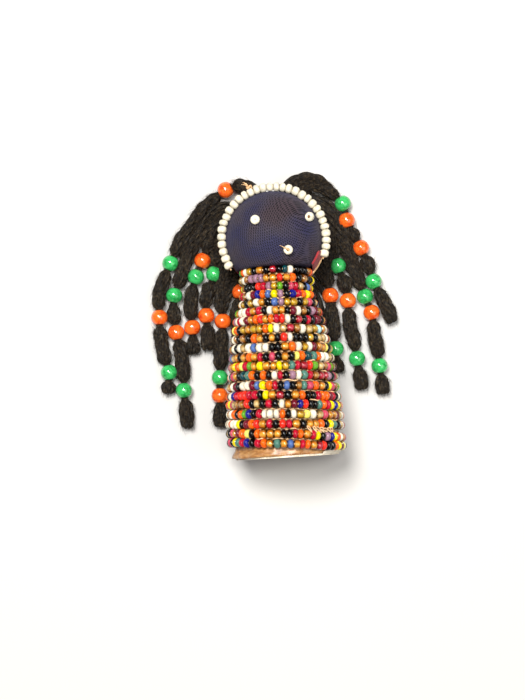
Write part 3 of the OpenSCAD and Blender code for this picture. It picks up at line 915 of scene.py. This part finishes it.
@dataclass
class Head:
    """The stuffed ball in its knit cover, the red back cloth, the bead string and the face.

    Attributes:
        shop: The finishes.
        bead: The seed bead.
        string_beads: Beads on the string that frames the face.
        string_span: Where the string starts and ends, in degrees up from the right.
        knot_at: Where it is tied off.
        folds: Gathers of the knit round the chin.
        cloth_rim: Height of the red cloth's rim above the ball's middle.
        tongue: Degrees between which the cloth rises to the edge that shows.
        facing: How far each face bead's hole leans right and towards the crown, for one up.
        tight_bead: The left eye, whose hole the glass has nearly closed.
    """

    shop: Workshop
    bead: SeedBead
    tight_bead: SeedBead = field(default_factory=lambda: SeedBead(hole=0.14))
    string_beads: int = 31
    string_span: tuple[float, float] = (211.2, -24.2)
    knot_at: float = 112.0
    folds: int = 22
    cloth_rim: float = -5.0
    tongue: tuple[float, float] = (-13.0, -21.0)
    seed: int = 5
    facing: dict[str, tuple[float, float]] = field(
        default_factory=lambda: {
            "eye_bead_left": (0.1, 0.0), "eye_bead_right": (-0.6, 0.0), "mouth_bead": (-0.16, -0.1)
        }
    )

    def __post_init__(self) -> None:
        """Reads the ball's place and size from the frame."""
        low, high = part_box("head_cover")
        self.radius = high.x
        self.centre = Vector((0, high.y - self.radius, (low.z + high.z) / 2))
        self.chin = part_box("bead_row_01")[1].y - self.centre.y - 1.2 * MM
        string_low, string_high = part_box("face_bead_string")
        self.string_z = (string_low.z + string_high.z) / 2
        self.string_r = string_high.y - self.centre.y - self.bead.radius * MM
        self.random = random.Random(self.seed)

    def cover(self) -> None:
        """Makes the knit cover: a ball that is flat at the chin, gathered into the neck."""
        bm = bmesh.new()
        bmesh.ops.create_uvsphere(
            bm, u_segments=96, v_segments=64, radius=self.radius,
            matrix=Matrix.Rotation(math.pi / 2, 4, "X"),
        )
        for vert in bm.verts:
            if vert.co.y < self.chin:
                depth = self.chin - vert.co.y
                vert.co.y = self.chin - 0.12 * depth
                spread = Vector((vert.co.x, 0, vert.co.z))
                fold = math.sin(math.atan2(spread.x, spread.z) * self.folds)
                vert.co += spread * 0.02 * fold
        bmesh.ops.smooth_vert(
            bm, verts=[v for v in bm.verts if v.co.y < self.chin + 1.5 * MM], factor=0.5,
            use_axis_x=True, use_axis_y=True, use_axis_z=True,
        )
        bmesh.ops.translate(bm, vec=self.centre, verts=bm.verts)
        bmesh.ops.recalc_face_normals(bm, faces=bm.faces)
        piece = new_piece("head_cover_knit", bm)
        dress(piece, (self.shop.knit,), "doll", "navy_cloth", "head_cover")
        fill_out("head_stuffing", self.shop.wadding)

    def back_cloth(self) -> None:
        """Makes the red cap on the back of the head, with a cream edge that shows on the right."""
        inner = self.radius + 0.1 * MM
        rim = self.cloth_rim * MM
        bm = bmesh.new()
        bmesh.ops.create_uvsphere(bm, u_segments=128, v_segments=96, radius=inner)
        for normal, distance in ((Vector((0, 0, 1)), rim), (Vector((0, -1, 0)), -self.chin)):
            geom = list(bm.verts) + list(bm.edges) + list(bm.faces)
            bmesh.ops.bisect_plane(
                bm, geom=geom, plane_co=normal * distance, plane_no=normal, clear_outer=True
            )
        for vert in bm.verts:
            angle = math.degrees(math.atan2(vert.co.y, vert.co.x))
            tongue = smooth_step(*self.tongue, angle) * smooth_step(-90, -60, angle)
            vert.co.z += 12.0 * MM * tongue * smooth_step(rim - 8 * MM, rim, vert.co.z)
            vert.co = vert.co.normalized() * inner
        bmesh.ops.translate(bm, vec=self.centre, verts=bm.verts)
        bmesh.ops.recalc_face_normals(bm, faces=bm.faces)
        piece = new_piece("head_back_cloth_cap", bm)
        thicken(piece, 0.6, 1)
        dress(piece, (self.shop.red_cotton,), "doll", "red_cloth", "head_back_cloth")
        binding = Tubes("head_back_cloth_edge")
        outer = self.centre + Vector((0, 0, 0.4 * MM))
        wide = inner + 0.75 * MM
        turns = [math.radians(-18 - 2 * k) for k in range(17)]
        binding.add([outer + wide * way_across(angle) for angle in turns], 0.36)
        trim = dress(binding.finish(), (self.shop.peach_thread,), "doll", "thread")

    def face_string(self) -> None:
        """Strings the white beads that frame the face."""
        middle = Vector((0, self.centre.y, self.string_z))
        start, end = (math.radians(angle) for angle in self.string_span)
        lengths = [self.random.uniform(0.86, 1.12) for _ in range(self.string_beads)]
        total = sum(lengths)
        bm = new_row_mesh()
        reached = 0.0
        for length in lengths:
            angle = start + (end - start) * (reached + length / 2) / total
            reached += length
            outward = way_across(angle)
            centre = middle + outward * (self.string_r + self.random.uniform(-0.42, -0.12) * MM)
            wobble = Vector([self.random.uniform(-0.07, 0.07) for _ in range(3)])
            hole = Vector((outward.y, -outward.x, 0)) + wobble
            girth = self.random.uniform(0.94, 1.03)
            size = Matrix.Diagonal((1.02 * girth, 1.02 * girth, 1.2 * length, 1))
            self.bead.string(bm, frame_of(hole, outward, centre) @ size, Glass.CREAM)
        piece = new_piece("face_string_beads", bm)
        dress(piece, self.shop.glass, "doll", "white_bead", "face_bead_string")
        tubes = Tubes("face_string_thread_sewn")
        steps = 90
        reach = math.radians(2)
        span = end - start - 2 * reach
        turns = [start + reach + span * k / steps for k in range(steps + 1)]
        tubes.add([middle + self.string_r * way_across(angle) for angle in turns], 0.28)
        dress(tubes.finish(), (self.shop.peach_thread,), "doll", "thread", "face_string_thread")

    def knot(self) -> None:
        """Ties off the string at the upper left, with short ends."""
        outward = way_across(math.radians(self.knot_at))
        middle = Vector((0, self.centre.y, self.string_z + 0.8 * MM)) + outward * (
            self.string_r + 0.9 * self.bead.radius * MM
        )
        tubes = Tubes("string_knot_tied")
        loop = [
            middle + Vector((0.8 * math.cos(t), 0.5 * math.sin(2 * t), 0.8 * math.sin(t))) * MM
            for t in turn_in(14)
        ]
        tubes.add(loop, 0.3, closed=True)
        for x, y, z in ((-2.2, 1.6, 1.0), (-2.7, 1.0, 0.6), (-1.9, 1.9, 0.2)):
            tip = middle + Vector((x, y, z)) * MM
            bend = (middle + tip) / 2 + Vector((0, 0.3, 0.3)) * MM
            tubes.add([middle, bend, tip], 0.26, taper=True)
        dress(tubes.finish(), (self.shop.peach_thread,), "doll", "thread", "string_knot")

    def face(self) -> None:
        """Sews on the eyes and the mouth: seed beads that stand end-on."""
        for node in self.facing:
            bm = new_row_mesh()
            size = Matrix.Diagonal((1.04, 1.04, 1.0, 1))
            place = frame_of(self.way_out(node), Vector((0, 1, 0)), middle_of(node)) @ size
            kind = self.tight_bead if node == "eye_bead_left" else self.bead
            kind.string(bm, place, Glass.CREAM)
            piece = new_piece(node + "_sewn", bm)
            dress(piece, self.shop.glass, "doll", "white_bead", node)
        stitches = Tubes("face_stitches_sewn")
        for node, out in (("eye_bead_left", -1.0), ("eye_bead_right", -0.1)):
            self.stitch(stitches, node, out)
        dress(stitches.finish(), (self.shop.brown_thread,), "doll", "brown_thread", "face_stitches")
        ends = Tubes("mouth_thread_end_sewn")
        tip = self.stitch(ends, "mouth_bead", 0.3)
        line = [
            tip + Vector((x, y, z)) * MM
            for x, y, z in ((0, 0, 0), (-0.5, 0.35, 0.35), (-1.5, 1.0, 0.4), (-2.7, 1.7, 0.2))
        ]
        ends.add(line, 0.28, taper=True)
        dress(ends.finish(), (self.shop.peach_thread,), "doll", "thread", "mouth_thread_end")

    def way_out(self, node: str) -> Vector:
        """The way a face bead's hole points: between straight up and the way it was pulled."""
        return Vector((*self.facing[node], 1.0)).normalized()

    def stitch(self, tubes: Tubes, node: str, out: float) -> Vector:
        """Adds the thread in a face bead's hole, which stands out millimetres out of it.

        Returns:
            The thread's outer end.
        """
        centre = middle_of(node)
        reach = self.way_out(node) * (self.bead.length / 2 + out) * MM
        end = centre + reach * 0.72
        tubes.add([centre - reach, centre, end], 0.42)
        return end

    def build(self) -> None:
        """Makes the whole head."""
        self.cover()
        self.back_cloth()
        self.face_string()
        self.knot()
        self.face()


# ---------------------------------------------------------------- hair


# A hair bead's plastic, by its number in the workshop.
ORANGE, GREEN = 0, 1

# Each route runs from the root on the yarn pad to the tip: x and y from the head's centre,
# z above the surface, in millimetres, and the bead where one is threaded.
ROUTES: dict[str, tuple[tuple[float, ...], ...]] = {
    "left_1": (
        (-5.5, 14.5, 5), (-7.5, 19.5, 6), (-11, 22.5, 5.6), (-16, 21.5, 4.2, ORANGE),
        (-20.8, 18.3, 3), (-26, 13.3, 2.4), (-30.7, 7.6, 2.3), (-34.6, 1.8, 2.3),
        (-37.5, -3.7, 3, GREEN), (-40.4, -9.7, 2.2), (-42.4, -16, 2.2), (-42.6, -23, 3, ORANGE),
        (-42.6, -30, 2.2), (-41.8, -36.5, 2.2), (-40.3, -43, 3, GREEN), (-40.8, -48, 2.2),
        (-41, -51, 2.2),
    ),
    "left_2": (
        (-11, 10.8, 4.5), (-16.2, 13, 3.6), (-21.4, 10.2, 2.8), (-26.2, 5.8, 2.4),
        (-30.2, 0.4, 2.3), (-32.6, -5.2, 2.3), (-34.8, -10.4, 2.3), (-36.8, -15.4, 3, GREEN),
        (-37.4, -21.5, 2.2), (-36.9, -28.8, 3, ORANGE), (-35.6, -36, 2.2), (-35.2, -43, 2.2),
        (-35.3, -49.8, 3, GREEN), (-35, -57, 2.2), (-34.7, -64, 2.2),
    ),
    "left_3": (
        (-14, 6.4, 4.5), (-18.8, 6, 3.4), (-23.2, 2.2, 2.6), (-25.9, -3.5, 3, ORANGE),
        (-28.6, -9.2, 3, GREEN), (-30.6, -15.5, 2.2), (-31.3, -21.5, 2.2), (-31, -27.4, 3, ORANGE),
        (-31.2, -33, 2.2), (-31.2, -37.5, 2.2),
    ),
    "left_4": (
        (-15.5, 0.5, 4.5), (-19.6, -1.5, 3.2), (-22, -8.6, 3, GREEN), (-24.6, -15, 2.2),
        (-25.6, -19, 2.2), (-25.7, -23.4, 3, ORANGE), (-25.6, -30, 2.2), (-26.2, -36.3, 2.2),
    ),
    "left_5": (
        (-15.2, -4, 4.5), (-16.4, -7.7, 3.2), (-18.2, -14, 2.3), (-20, -19, 2.2),
        (-19.9, -25.8, 3, ORANGE), (-21, -33, 2.2), (-21.8, -40, 2.2), (-22.2, -46, 3, GREEN),
        (-22.6, -52.4, 3, ORANGE), (-22.9, -58, 2.2), (-23.2, -64, 2.2),
    ),
    "left_6": (
        (-12.9, -9, 4.5), (-13, -11, 3.6), (-13.2, -15.4, 3, ORANGE), (-14.6, -22.5, 2.2),
        (-14.4, -28, 2.2), (-14.8, -35, 2.2), (-15.6, -42, 2.2), (-16.2, -47, 2.2),
    ),
    "right_1": (
        (5.5, 14.5, 5), (9, 20, 6), (14.5, 22, 5.4), (20, 19.6, 4), (26, 14.1, 3, GREEN),
        (27, 7.9, 3, ORANGE), (29.1, 2.6, 2.3), (31.5, -2.4, 3, ORANGE), (33.5, -8.6, 2.2),
        (35.2, -14.8, 3, GREEN), (37.7, -20.8, 2.2), (40, -26, 2.2), (41.4, -30.6, 2.2),
    ),
    "right_2": (
        (11, 10.8, 4.5), (16, 11.2, 3.6), (20.6, 8, 2.6), (24, 3, 2.3), (26.3, -2.6, 2.3),
        (28.3, -9, 2.2), (30, -14.8, 2.2), (31.7, -20.1, 3, GREEN), (33.7, -26, 3, ORANGE),
        (34.2, -33, 2.2), (34.9, -39, 2.2), (35.3, -45.3, 3, GREEN), (35.7, -51, 2.2),
        (36, -56, 2.2),
    ),
    "right_3": (
        (14.6, 5.4, 4.5), (18.7, 2.8, 3.2), (21.5, -2.4, 2.3), (22.7, -8.4, 3, GREEN),
        (24.6, -15, 2.2), (25.5, -21.2, 3, ORANGE), (25.6, -29, 2.2), (26.8, -36, 2.2),
        (27.4, -42.2, 3, GREEN), (28, -48, 2.2), (28.4, -54, 2.2),
    ),
    "right_4": (
        (15.3, -2.8, 4.5), (17.2, -7, 3.2), (18.6, -13, 2.3), (19.3, -18.9, 3, ORANGE),
        (19.2, -26, 2.2), (19.6, -32, 2.2), (19.9, -38.2, 3, GREEN), (20, -43, 2.2),
        (20.2, -47.5, 2.2),
    ),
}


@dataclass
class Tress:
    """One bundle of wool strands, spread at its root, twisted, and drawn in through its beads.

    Attributes:
        shop: The finishes.
        side: Its name.
        head_y: The y of the head's centre, in metres.
        thickness: Across the bundle.
        strands: Strands in the bundle.
        strays: Loose plies that stray outside it between beads.
        strand_r: A strand's radius.
        pitch: Length of one turn of the bundle.
        ply_pitch: Length of one turn of a strand's own plies.
        fan: Half the width of the spread root.
        neck_r: Radius of the bundle inside a bead.
        bead_r: A hair bead's radius.
        hole_r: A hair bead's hole.
        step: Distance between sections.
        core_r: How far from the bundle's middle its strands lie inside a bead.
        stray_girth: The thinnest and thickest stray ply, as shares of a strand.
        full_within: How far from a bead the bundle is full again.
        free_within: How far from a bead the stray plies are free.
        closes_over: The length at the tip over which the strands draw together.
        fibres: Loose fibres for each millimetre of length.
        fibre_length: The shortest and longest fibre.
    """

    shop: Workshop
    side: str
    head_y: float
    thickness: float = 5.4
    strands: int = 4
    strays: int = 12
    strand_r: float = 1.4
    pitch: float = 34.0
    ply_pitch: float = 15.0
    fan: float = 3.3
    neck_r: float = 1.05
    bead_r: float = 3.0
    hole_r: float = 1.2
    step: float = 0.6
    core_r: float = 0.3
    stray_girth: tuple[float, float] = (0.3, 0.46)
    full_within: float = 2.4
    free_within: float = 6.0
    closes_over: float = 3.4
    fibres: int = 60
    fibre_length: tuple[float, float] = (1.2, 3.8)

    def __post_init__(self) -> None:
        """Samples the route as a smooth line."""
        route = ROUTES[self.side]
        self.random = random.Random(self.side)
        lift = self.thickness / 2 + 0.15
        head = Vector((0, self.head_y, 0))
        self.knots = [
            Vector((x, y, z if bead else max(z, lift))) * MM + head for x, y, z, *bead in route
        ]
        self.line = self.smooth_line()
        self.headings = [
            (self.line[min(k + 1, len(self.line) - 1)] - self.line[max(k - 1, 0)]).normalized()
            for k in range(len(self.line))
        ]
        self.along = [0.0]
        for a, b in zip(self.line, self.line[1:]):
            self.along.append(self.along[-1] + (b - a).length)
        self.bead_spots = [
            (self.nearest(knot), *bead) for knot, (_, _, _, *bead) in zip(self.knots, route) if bead
        ]

    def smooth_line(self) -> list[Vector]:
        """Runs a smooth curve through the route's points."""
        knots = self.knots
        points = [2 * knots[0] - knots[1], *knots, 2 * knots[-1] - knots[-2]]
        line = []
        for a, b, c, d in zip(points, points[1:], points[2:], points[3:]):
            count = max(1, round((c - b).length / (self.step * MM)))
            for k in range(count):
                t = k / count
                line.append(
                    0.5 * (2 * b + (c - a) * t + (2 * a - 5 * b + 4 * c - d) * t * t
                           + (3 * b - a - 3 * c + d) * t * t * t)
                )
        return [*line, knots[-1]]

    def nearest(self, point: Vector) -> int:
        """The section of the line that is nearest to a point."""
        return min(range(len(self.line)), key=lambda k: (self.line[k] - point).length)

    def openness(self, k: int, reach: float) -> float:
        """1 where the bundle is full, and 0 inside a bead, with reach millimetres between."""
        away = min(abs(self.along[k] - self.along[spot]) for spot, _ in self.bead_spots) / MM
        return smooth_step(self.bead_r - 0.4, self.bead_r + reach, away)

    def strand_lines(self) -> list[tuple[list[Vector], list[float], list[float]]]:
        """Each strand's centreline, its share of its radius, and its twist."""
        total = self.along[-1]
        first_bead = self.along[self.bead_spots[0][0]]
        spread_end = max(6 * MM, min(24 * MM, first_bead - 4 * MM))
        thin = (self.neck_r - self.core_r) / self.strand_r
        made = []
        for number in range(self.strands + self.strays):
            stray = number >= self.strands
            phase = self.random.uniform(0, math.tau) if stray else math.tau * number / self.strands
            short = self.random.uniform(0, 2.0 if stray else 0.5) * MM
            across = self.random.uniform(-1.2, 1.2) if stray else 2 * number / (self.strands - 1) - 1
            girth = self.random.uniform(*self.stray_girth) if stray else 1.0
            line, radii, tilts = [], [], []
            for k, (point, heading) in enumerate(zip(self.line, self.headings)):
                s = self.along[k]
                if s > total - short:
                    break
                side = heading.cross(Vector((0, 0, 1))).normalized()
                up = side.cross(heading)
                closing = min(1.0, (total - s) / (self.closes_over * MM))
                cap = math.sqrt(max(0.0, 1 - (1 - closing) ** 2))
                full = self.openness(k, self.full_within) * (0.25 + 0.75 * cap)
                free = self.openness(k, self.free_within) * cap
                fanned = (1 - smooth_step(0.25 * spread_end, spread_end, s)) * full
                turn = phase + math.tau * s / (self.pitch * MM)
                ring = self.core_r + (0.98 * self.strand_r - self.core_r) * full
                if stray:
                    waves = noise.noise(Vector((s * 90, number * 5.3, 1.0)))
                    ring += (0.2 + 0.85 * abs(waves)) * self.strand_r * free
                ring += noise.noise(Vector((s * 160, number * 3.1, len(self.side)))) * 0.35 * full
                bundle = (side * math.cos(turn) + up * math.sin(turn)) * ring * MM
                flat = side * self.fan * across * MM
                flat += up * (0.35 * math.sin(phase * 1.7 + s * 90) + (1.5 if stray else 0)) * MM
                strand = point + bundle * (1 - fanned) + flat * fanned
                strand.z = max(strand.z, girth * self.strand_r * MM)
                line.append(strand)
                root = 0.72 + 0.28 * smooth_step(0, 3 * MM, s)
                tip_share = smooth_step(total - short - 1.4 * MM, total - short, s)
                tip = math.sqrt(max(0.02, 1 - tip_share))
                puff = 1 + 0.1 * noise.noise(Vector((s * 420, number * 1.7, 4.0)))
                radii.append(girth * (thin + (1 - thin) * full) * root * tip * puff)
                tilts.append(math.tau * s / (self.ply_pitch * MM) + phase)
            made.append((line, radii, tilts))
        return made

    def spin_yarn(self, profile: bpy.types.Object, lines: list) -> bpy.types.Object:
        """Makes the tress out of its strands, with a strand's section."""
        tubes = Tubes(f"tress_{self.side}_wool", flats=0)
        for line, radii, tilts in lines:
            tubes.add(line, self.strand_r, radii=radii, tilts=tilts)
        tubes.shape(self.strand_r, profile)
        piece = tubes.finish()
        keep_above_floor(piece, 0.02)
        return dress(piece, (self.shop.wool,), f"hair_{self.side}", "yarn", f"tress_{self.side}")

    def fuzz(self, lines: list) -> bpy.types.Object:
        """Makes the loose fibres that stand off the strands."""
        tubes = Tubes(f"tress_{self.side}_fuzz", flats=0)
        for _ in range(int(self.fibres * self.along[-1] / MM)):
            line, radii, _ = lines[self.random.randrange(len(lines))]
            k = self.random.randrange(2, len(line) - 2)
            if radii[k] < 0.18:
                continue
            heading = (line[k + 1] - line[k - 1]).normalized()
            out = Vector([self.random.gauss(0, 1) for _ in range(3)])
            out = (out - heading * out.dot(heading)).normalized()
            start = line[k] + out * self.strand_r * radii[k] * 0.85 * MM
            length = self.random.uniform(*self.fibre_length) * MM
            lift = self.random.uniform(0.05, 0.55)
            side = heading.cross(out) * self.random.uniform(-0.5, 0.5)
            way = (heading * self.random.choice((1, 1, -1)) + out * lift + side).normalized()
            middle = start + way * length * 0.5
            end = middle + (way + heading * 0.3 - out * lift * 0.6).normalized() * length * 0.5
            if (end - self.line[k]).length > 0.92 * self.thickness * MM:
                continue
            for point in (middle, end):
                point.z = max(point.z, 0.06 * MM)
            tubes.add([start, middle, end], 0.05, taper=True)
        piece = tubes.finish()
        keep_above_floor(piece)
        return dress(piece, (self.shop.loose_wool_painted_sheen,), f"hair_{self.side}", "yarn")

    def thread_beads(self) -> bpy.types.Object:
        """Makes the round beads on the tress, each spun about the yarn that goes through it."""
        bm = bmesh.new()
        rounding = 0.35
        edge = math.asin(self.hole_r / self.bead_r)
        start = edge + 0.1
        turns = [start + (math.pi - 2 * start) * k / 14 for k in range(15)]
        section = [(self.bead_r * math.sin(a), self.bead_r * math.cos(a)) for a in turns]
        half = self.bead_r * math.cos(edge) - rounding
        section += [(self.hole_r, -half), (self.hole_r, half)]
        for spot, bead in self.bead_spots:
            before, faces = len(bm.verts), len(bm.faces)
            spin_section(bm, section, 28)
            bm.verts.ensure_lookup_table()
            bm.faces.ensure_lookup_table()
            new = bm.verts[before:]
            for vert in new:
                vert.co *= 1 + 0.012 * noise.noise(vert.co * 700 + Vector((spot, 0, 0)))
            place = frame_of(self.headings[spot], Vector((0, 0, 1)), self.line[spot])
            bmesh.ops.transform(bm, matrix=place, verts=new)
            for face in bm.faces[faces:]:
                face.material_index = bead
        bmesh.ops.remove_doubles(bm, verts=bm.verts, dist=0.001 * MM)
        bmesh.ops.recalc_face_normals(bm, faces=bm.faces)
        piece = new_piece(f"hair_beads_{self.side}_threaded", bm)
        node = f"hair_beads_{self.side}"
        return dress(piece, self.shop.plastic, f"hair_{self.side}", "hair_bead", node)

    def build(self, profile: bpy.types.Object) -> None:
        lines = self.strand_lines()
        yarn = self.spin_yarn(profile, lines)
        extras = [self.thread_beads(), self.fuzz(lines)]


@dataclass
class HairPad:
    """The pad behind the head: yarn laid round and round and stitched down.

    Attributes:
        shop: The finishes.
        strand_r: The yarn's radius.
        wave: How far a coil wanders from a circle.
        coils: How far in from the rim each coil lies, its height, and the phase of its waves.
        tuft_reach: How many of a route's spans a loose end runs along.
        locks: Loose ends elsewhere: points x and y from the head's centre and how far each is
            shifted sideways for one along y, and the shifts of the ends that lie side by side.
        between: The tresses that loose ends lie between.
    """

    shop: Workshop
    strand_r: float = 1.4
    wave: float = 0.25
    coils: tuple[tuple[float, float, float], ...] = (
        (0.0, 1.4, 0.0), (0.3, 3.6, 0.8), (0.2, 5.8, 1.9), (2.6, 1.5, 2.4), (2.7, 3.7, 0.4),
        (5.2, 1.4, 1.2), (7.8, 1.4, 2.2), (10.4, 1.4, 0.6),
    )
    tuft_reach: float = 2.6
    locks: tuple[tuple[tuple[tuple[float, float, float], ...], tuple[float, ...]], ...] = (
        (((10.5, 16.0, 0.3), (14.5, 14.8, 0.3), (18.4, 12.6, 0.4), (22.0, 9.8, 0.6),
          (24.8, 6.2, 0.8), (26.2, 2.5, 1.0)), (-1.6, 0.0, 1.6, 3.0)),
        (((9.0, -9.0, 1.0), (12.5, -12.0, 1.0), (15.3, -15.5, 1.1), (17.2, -19.5, 1.2),
          (18.0, -23.5, 1.3), (18.0, -27.0, 1.2)), (-1.3, 0.3, 1.9)),
    )
    between: tuple[tuple[str, str], ...] = (
        ("left_1", "left_2"), ("left_2", "left_3"), ("left_3", "left_4"),
        ("right_1", "right_2"), ("right_2", "right_3"), ("right_3", "right_4"),
    )

    def build(self, profile: bpy.types.Object) -> None:
        """Makes the pad."""
        middle = middle_of("hair_pad")
        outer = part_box("hair_pad")[1].x / MM - self.strand_r
        tubes = Tubes("hair_pad_yarn", flats=0)
        for inward, height, phase in self.coils:
            radius = (outer - inward) * MM
            angles = turn_in(max(24, round(math.tau * radius / (0.7 * MM))))
            line = [
                Vector((middle.x, middle.y, height * MM))
                + way_across(a) * (radius + self.wave * MM * math.sin(7 * a + phase))
                + Vector((0, 0, 0.6 * self.wave * MM * math.sin(5 * a + phase)))
                for a in angles
            ]
            turns = round(math.tau * radius / (5 * MM))
            tubes.add(line, self.strand_r, closed=True, tilts=[turns * a for a in angles])
        for first, second in self.between:
            for share in (0.5, 0.7):
                self.lay_tuft(tubes, first, second, share, middle.y)
        for lock, shifts in self.locks:
            for shift in shifts:
                line = [
                    Vector((x + shift * lean, middle.y / MM + y + shift, 2.6)) * MM
                    for x, y, lean in lock
                ]
                radii = [0.8] * (len(line) - 3) + [0.75, 0.65, 0.4]
                tilts = [0.8 * k for k in range(len(line))]
                tubes.add(line, self.strand_r, radii=radii, tilts=tilts)
        tubes.shape(self.strand_r, profile)
        piece = tubes.finish()
        keep_above_floor(piece)
        dress(piece, (self.shop.wool,), "doll", "yarn", "hair_pad")

    def lay_tuft(self, tubes: Tubes, first: str, second: str, share: float, head_y: float) -> None:
        """Lays a short loose end of yarn between two tresses.

        Args:
            tubes: The pad's yarn.
            first: The tress on one side.
            second: The tress on the other.
            share: How far across from the first to the second it lies.
            head_y: The y of the head's centre, in metres.
        """
        steps = 40
        line, radii, tilts = [], [], []
        for k in range(steps + 1):
            place = k / steps * self.tuft_reach
            index, part = int(place), place - int(place)
            point = Vector((0, 0, 0))
            for side, weight in ((first, 1 - share), (second, share)):
                a, b = (Vector(ROUTES[side][index + n][:3]) for n in (0, 1))
                point += (a + (b - a) * part) * weight
            point.z = 2.0 + 0.5 * math.cos(7 * share + place)
            line.append(point * MM + Vector((0, head_y, 0)))
            radii.append(0.7 * math.sqrt(max(0.02, 1 - (k / steps) ** 6)))
            tilts.append(0.3 * k)
        tubes.add(line, self.strand_r, radii=radii, tilts=tilts)


def ply_profile(radius: float = 1.4, depth: float = 0.34, plies: int = 4) -> bpy.types.Object:
    """The section of a plied strand: a circle pinched where its plies meet, in millimetres."""
    curve = bpy.data.curves.new("ply section", "CURVE")
    curve.dimensions = "2D"
    spline = curve.splines.new("POLY")
    angles = turn_in(5 * plies)
    spline.points.add(len(angles) - 1)
    for point, angle in zip(spline.points, angles):
        reach = radius * MM * (1 - depth + depth * math.cos(plies * angle))
        point.co = (*way_across(angle) * reach, 1)
    spline.use_cyclic_u = True
    section = bpy.data.objects.new("ply section", curve)
    bpy.context.scene.collection.objects.link(section)
    return section


# ---------------------------------------------------------------- studio


@dataclass
class Studio:
    """The camera, a pale floor and soft light.

    Attributes:
        eye: The camera's place, in millimetres.
        elevation: How steeply it looks down, in degrees.
        roll: How far it is turned about its own line of sight, in degrees.
        lens: Its focal length on a 36 mm sensor.
    """

    eye: tuple[float, float, float] = (-6.3, -43.0, 541.0)
    elevation: float = 86.4
    roll: float = -3.57
    lens: float = 77.14

    def camera(self) -> None:
        """Sets up the camera."""
        tilt = math.radians(self.elevation)
        look = Vector((0, math.cos(tilt), -math.sin(tilt)))
        side = look.cross(Vector((0, 0, 1))).normalized()
        up = side.cross(look)
        turn = math.radians(self.roll)
        right = side * math.cos(turn) + up * math.sin(turn)
        top = up * math.cos(turn) - side * math.sin(turn)
        data = bpy.data.cameras.new("camera")
        data.lens = self.lens
        data.sensor_width = 36.0
        data.clip_start = 0.01
        data.clip_end = 10.0
        camera = bpy.data.objects.new("camera", data)
        camera.matrix_world = (
            Matrix.Translation(Vector(self.eye) * MM)
            @ Matrix((right, top, -look)).transposed().to_4x4()
        )
        bpy.context.scene.collection.objects.link(camera)
        bpy.context.scene.camera = camera

    def floor(self) -> None:
        """Lays a plain pale floor."""
        bm = bmesh.new()
        bmesh.ops.create_grid(bm, x_segments=1, y_segments=1, size=1.5)
        floor = new_piece("floor", bm)
        floor.data.materials.append(
            Recipe("pale floor", 0.85, Base_Color=linear("#c9c6c1")).material
        )

    def light(self, name: str, place: tuple[float, float, float], size: float, watts: float) -> None:
        """Hangs a square soft light that faces the doll."""
        data = bpy.data.lights.new(name, "AREA")
        data.size = size
        data.energy = watts
        lamp = bpy.data.objects.new(name, data)
        lamp.location = place
        lamp.rotation_mode = "QUATERNION"
        lamp.rotation_quaternion = (-Vector(place)).to_track_quat("-Z", "Y")
        bpy.context.scene.collection.objects.link(lamp)

    def build(self) -> None:
        """Sets up the studio."""
        self.camera()
        self.floor()
        self.light("key", (-0.15, 0.25, 0.9), 0.3, 12.0)
        self.light("fill", (0.5, -0.2, 0.8), 0.6, 3.0)
        self.light("glint", (0.08, 0.04, 0.95), 0.14, 3.0)
        world = bpy.data.worlds.new("studio")
        world.use_nodes = True
        background = world.node_tree.nodes["Background"]
        background.inputs["Color"].default_value = linear("#e6e8ec")
        background.inputs["Strength"].default_value = 0.17
        bpy.context.scene.world = world
        bpy.context.scene.view_settings.view_transform = "Standard"


# ---------------------------------------------------------------- main


def main() -> None:
    """Builds the doll round its frame."""
    logging.basicConfig(level=logging.INFO, format="%(message)s")
    for leftover in list(bpy.data.objects):
        bpy.data.objects.remove(leftover)
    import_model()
    Studio().build()
    low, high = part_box("head_cover")
    head = Vector((0, high.y - high.x, (low.z + high.z) / 2))
    shop = Workshop(head)
    profile = ply_profile()
    for side in ROUTES:
        Tress(shop, side, head.y).build(profile)
    HairPad(shop).build(profile)
    bpy.data.objects.remove(profile)
    bead = SeedBead()
    BeadedBody(shop, bead).build()
    Head(shop, bead).build()


if __name__ == "__main__":
    main()
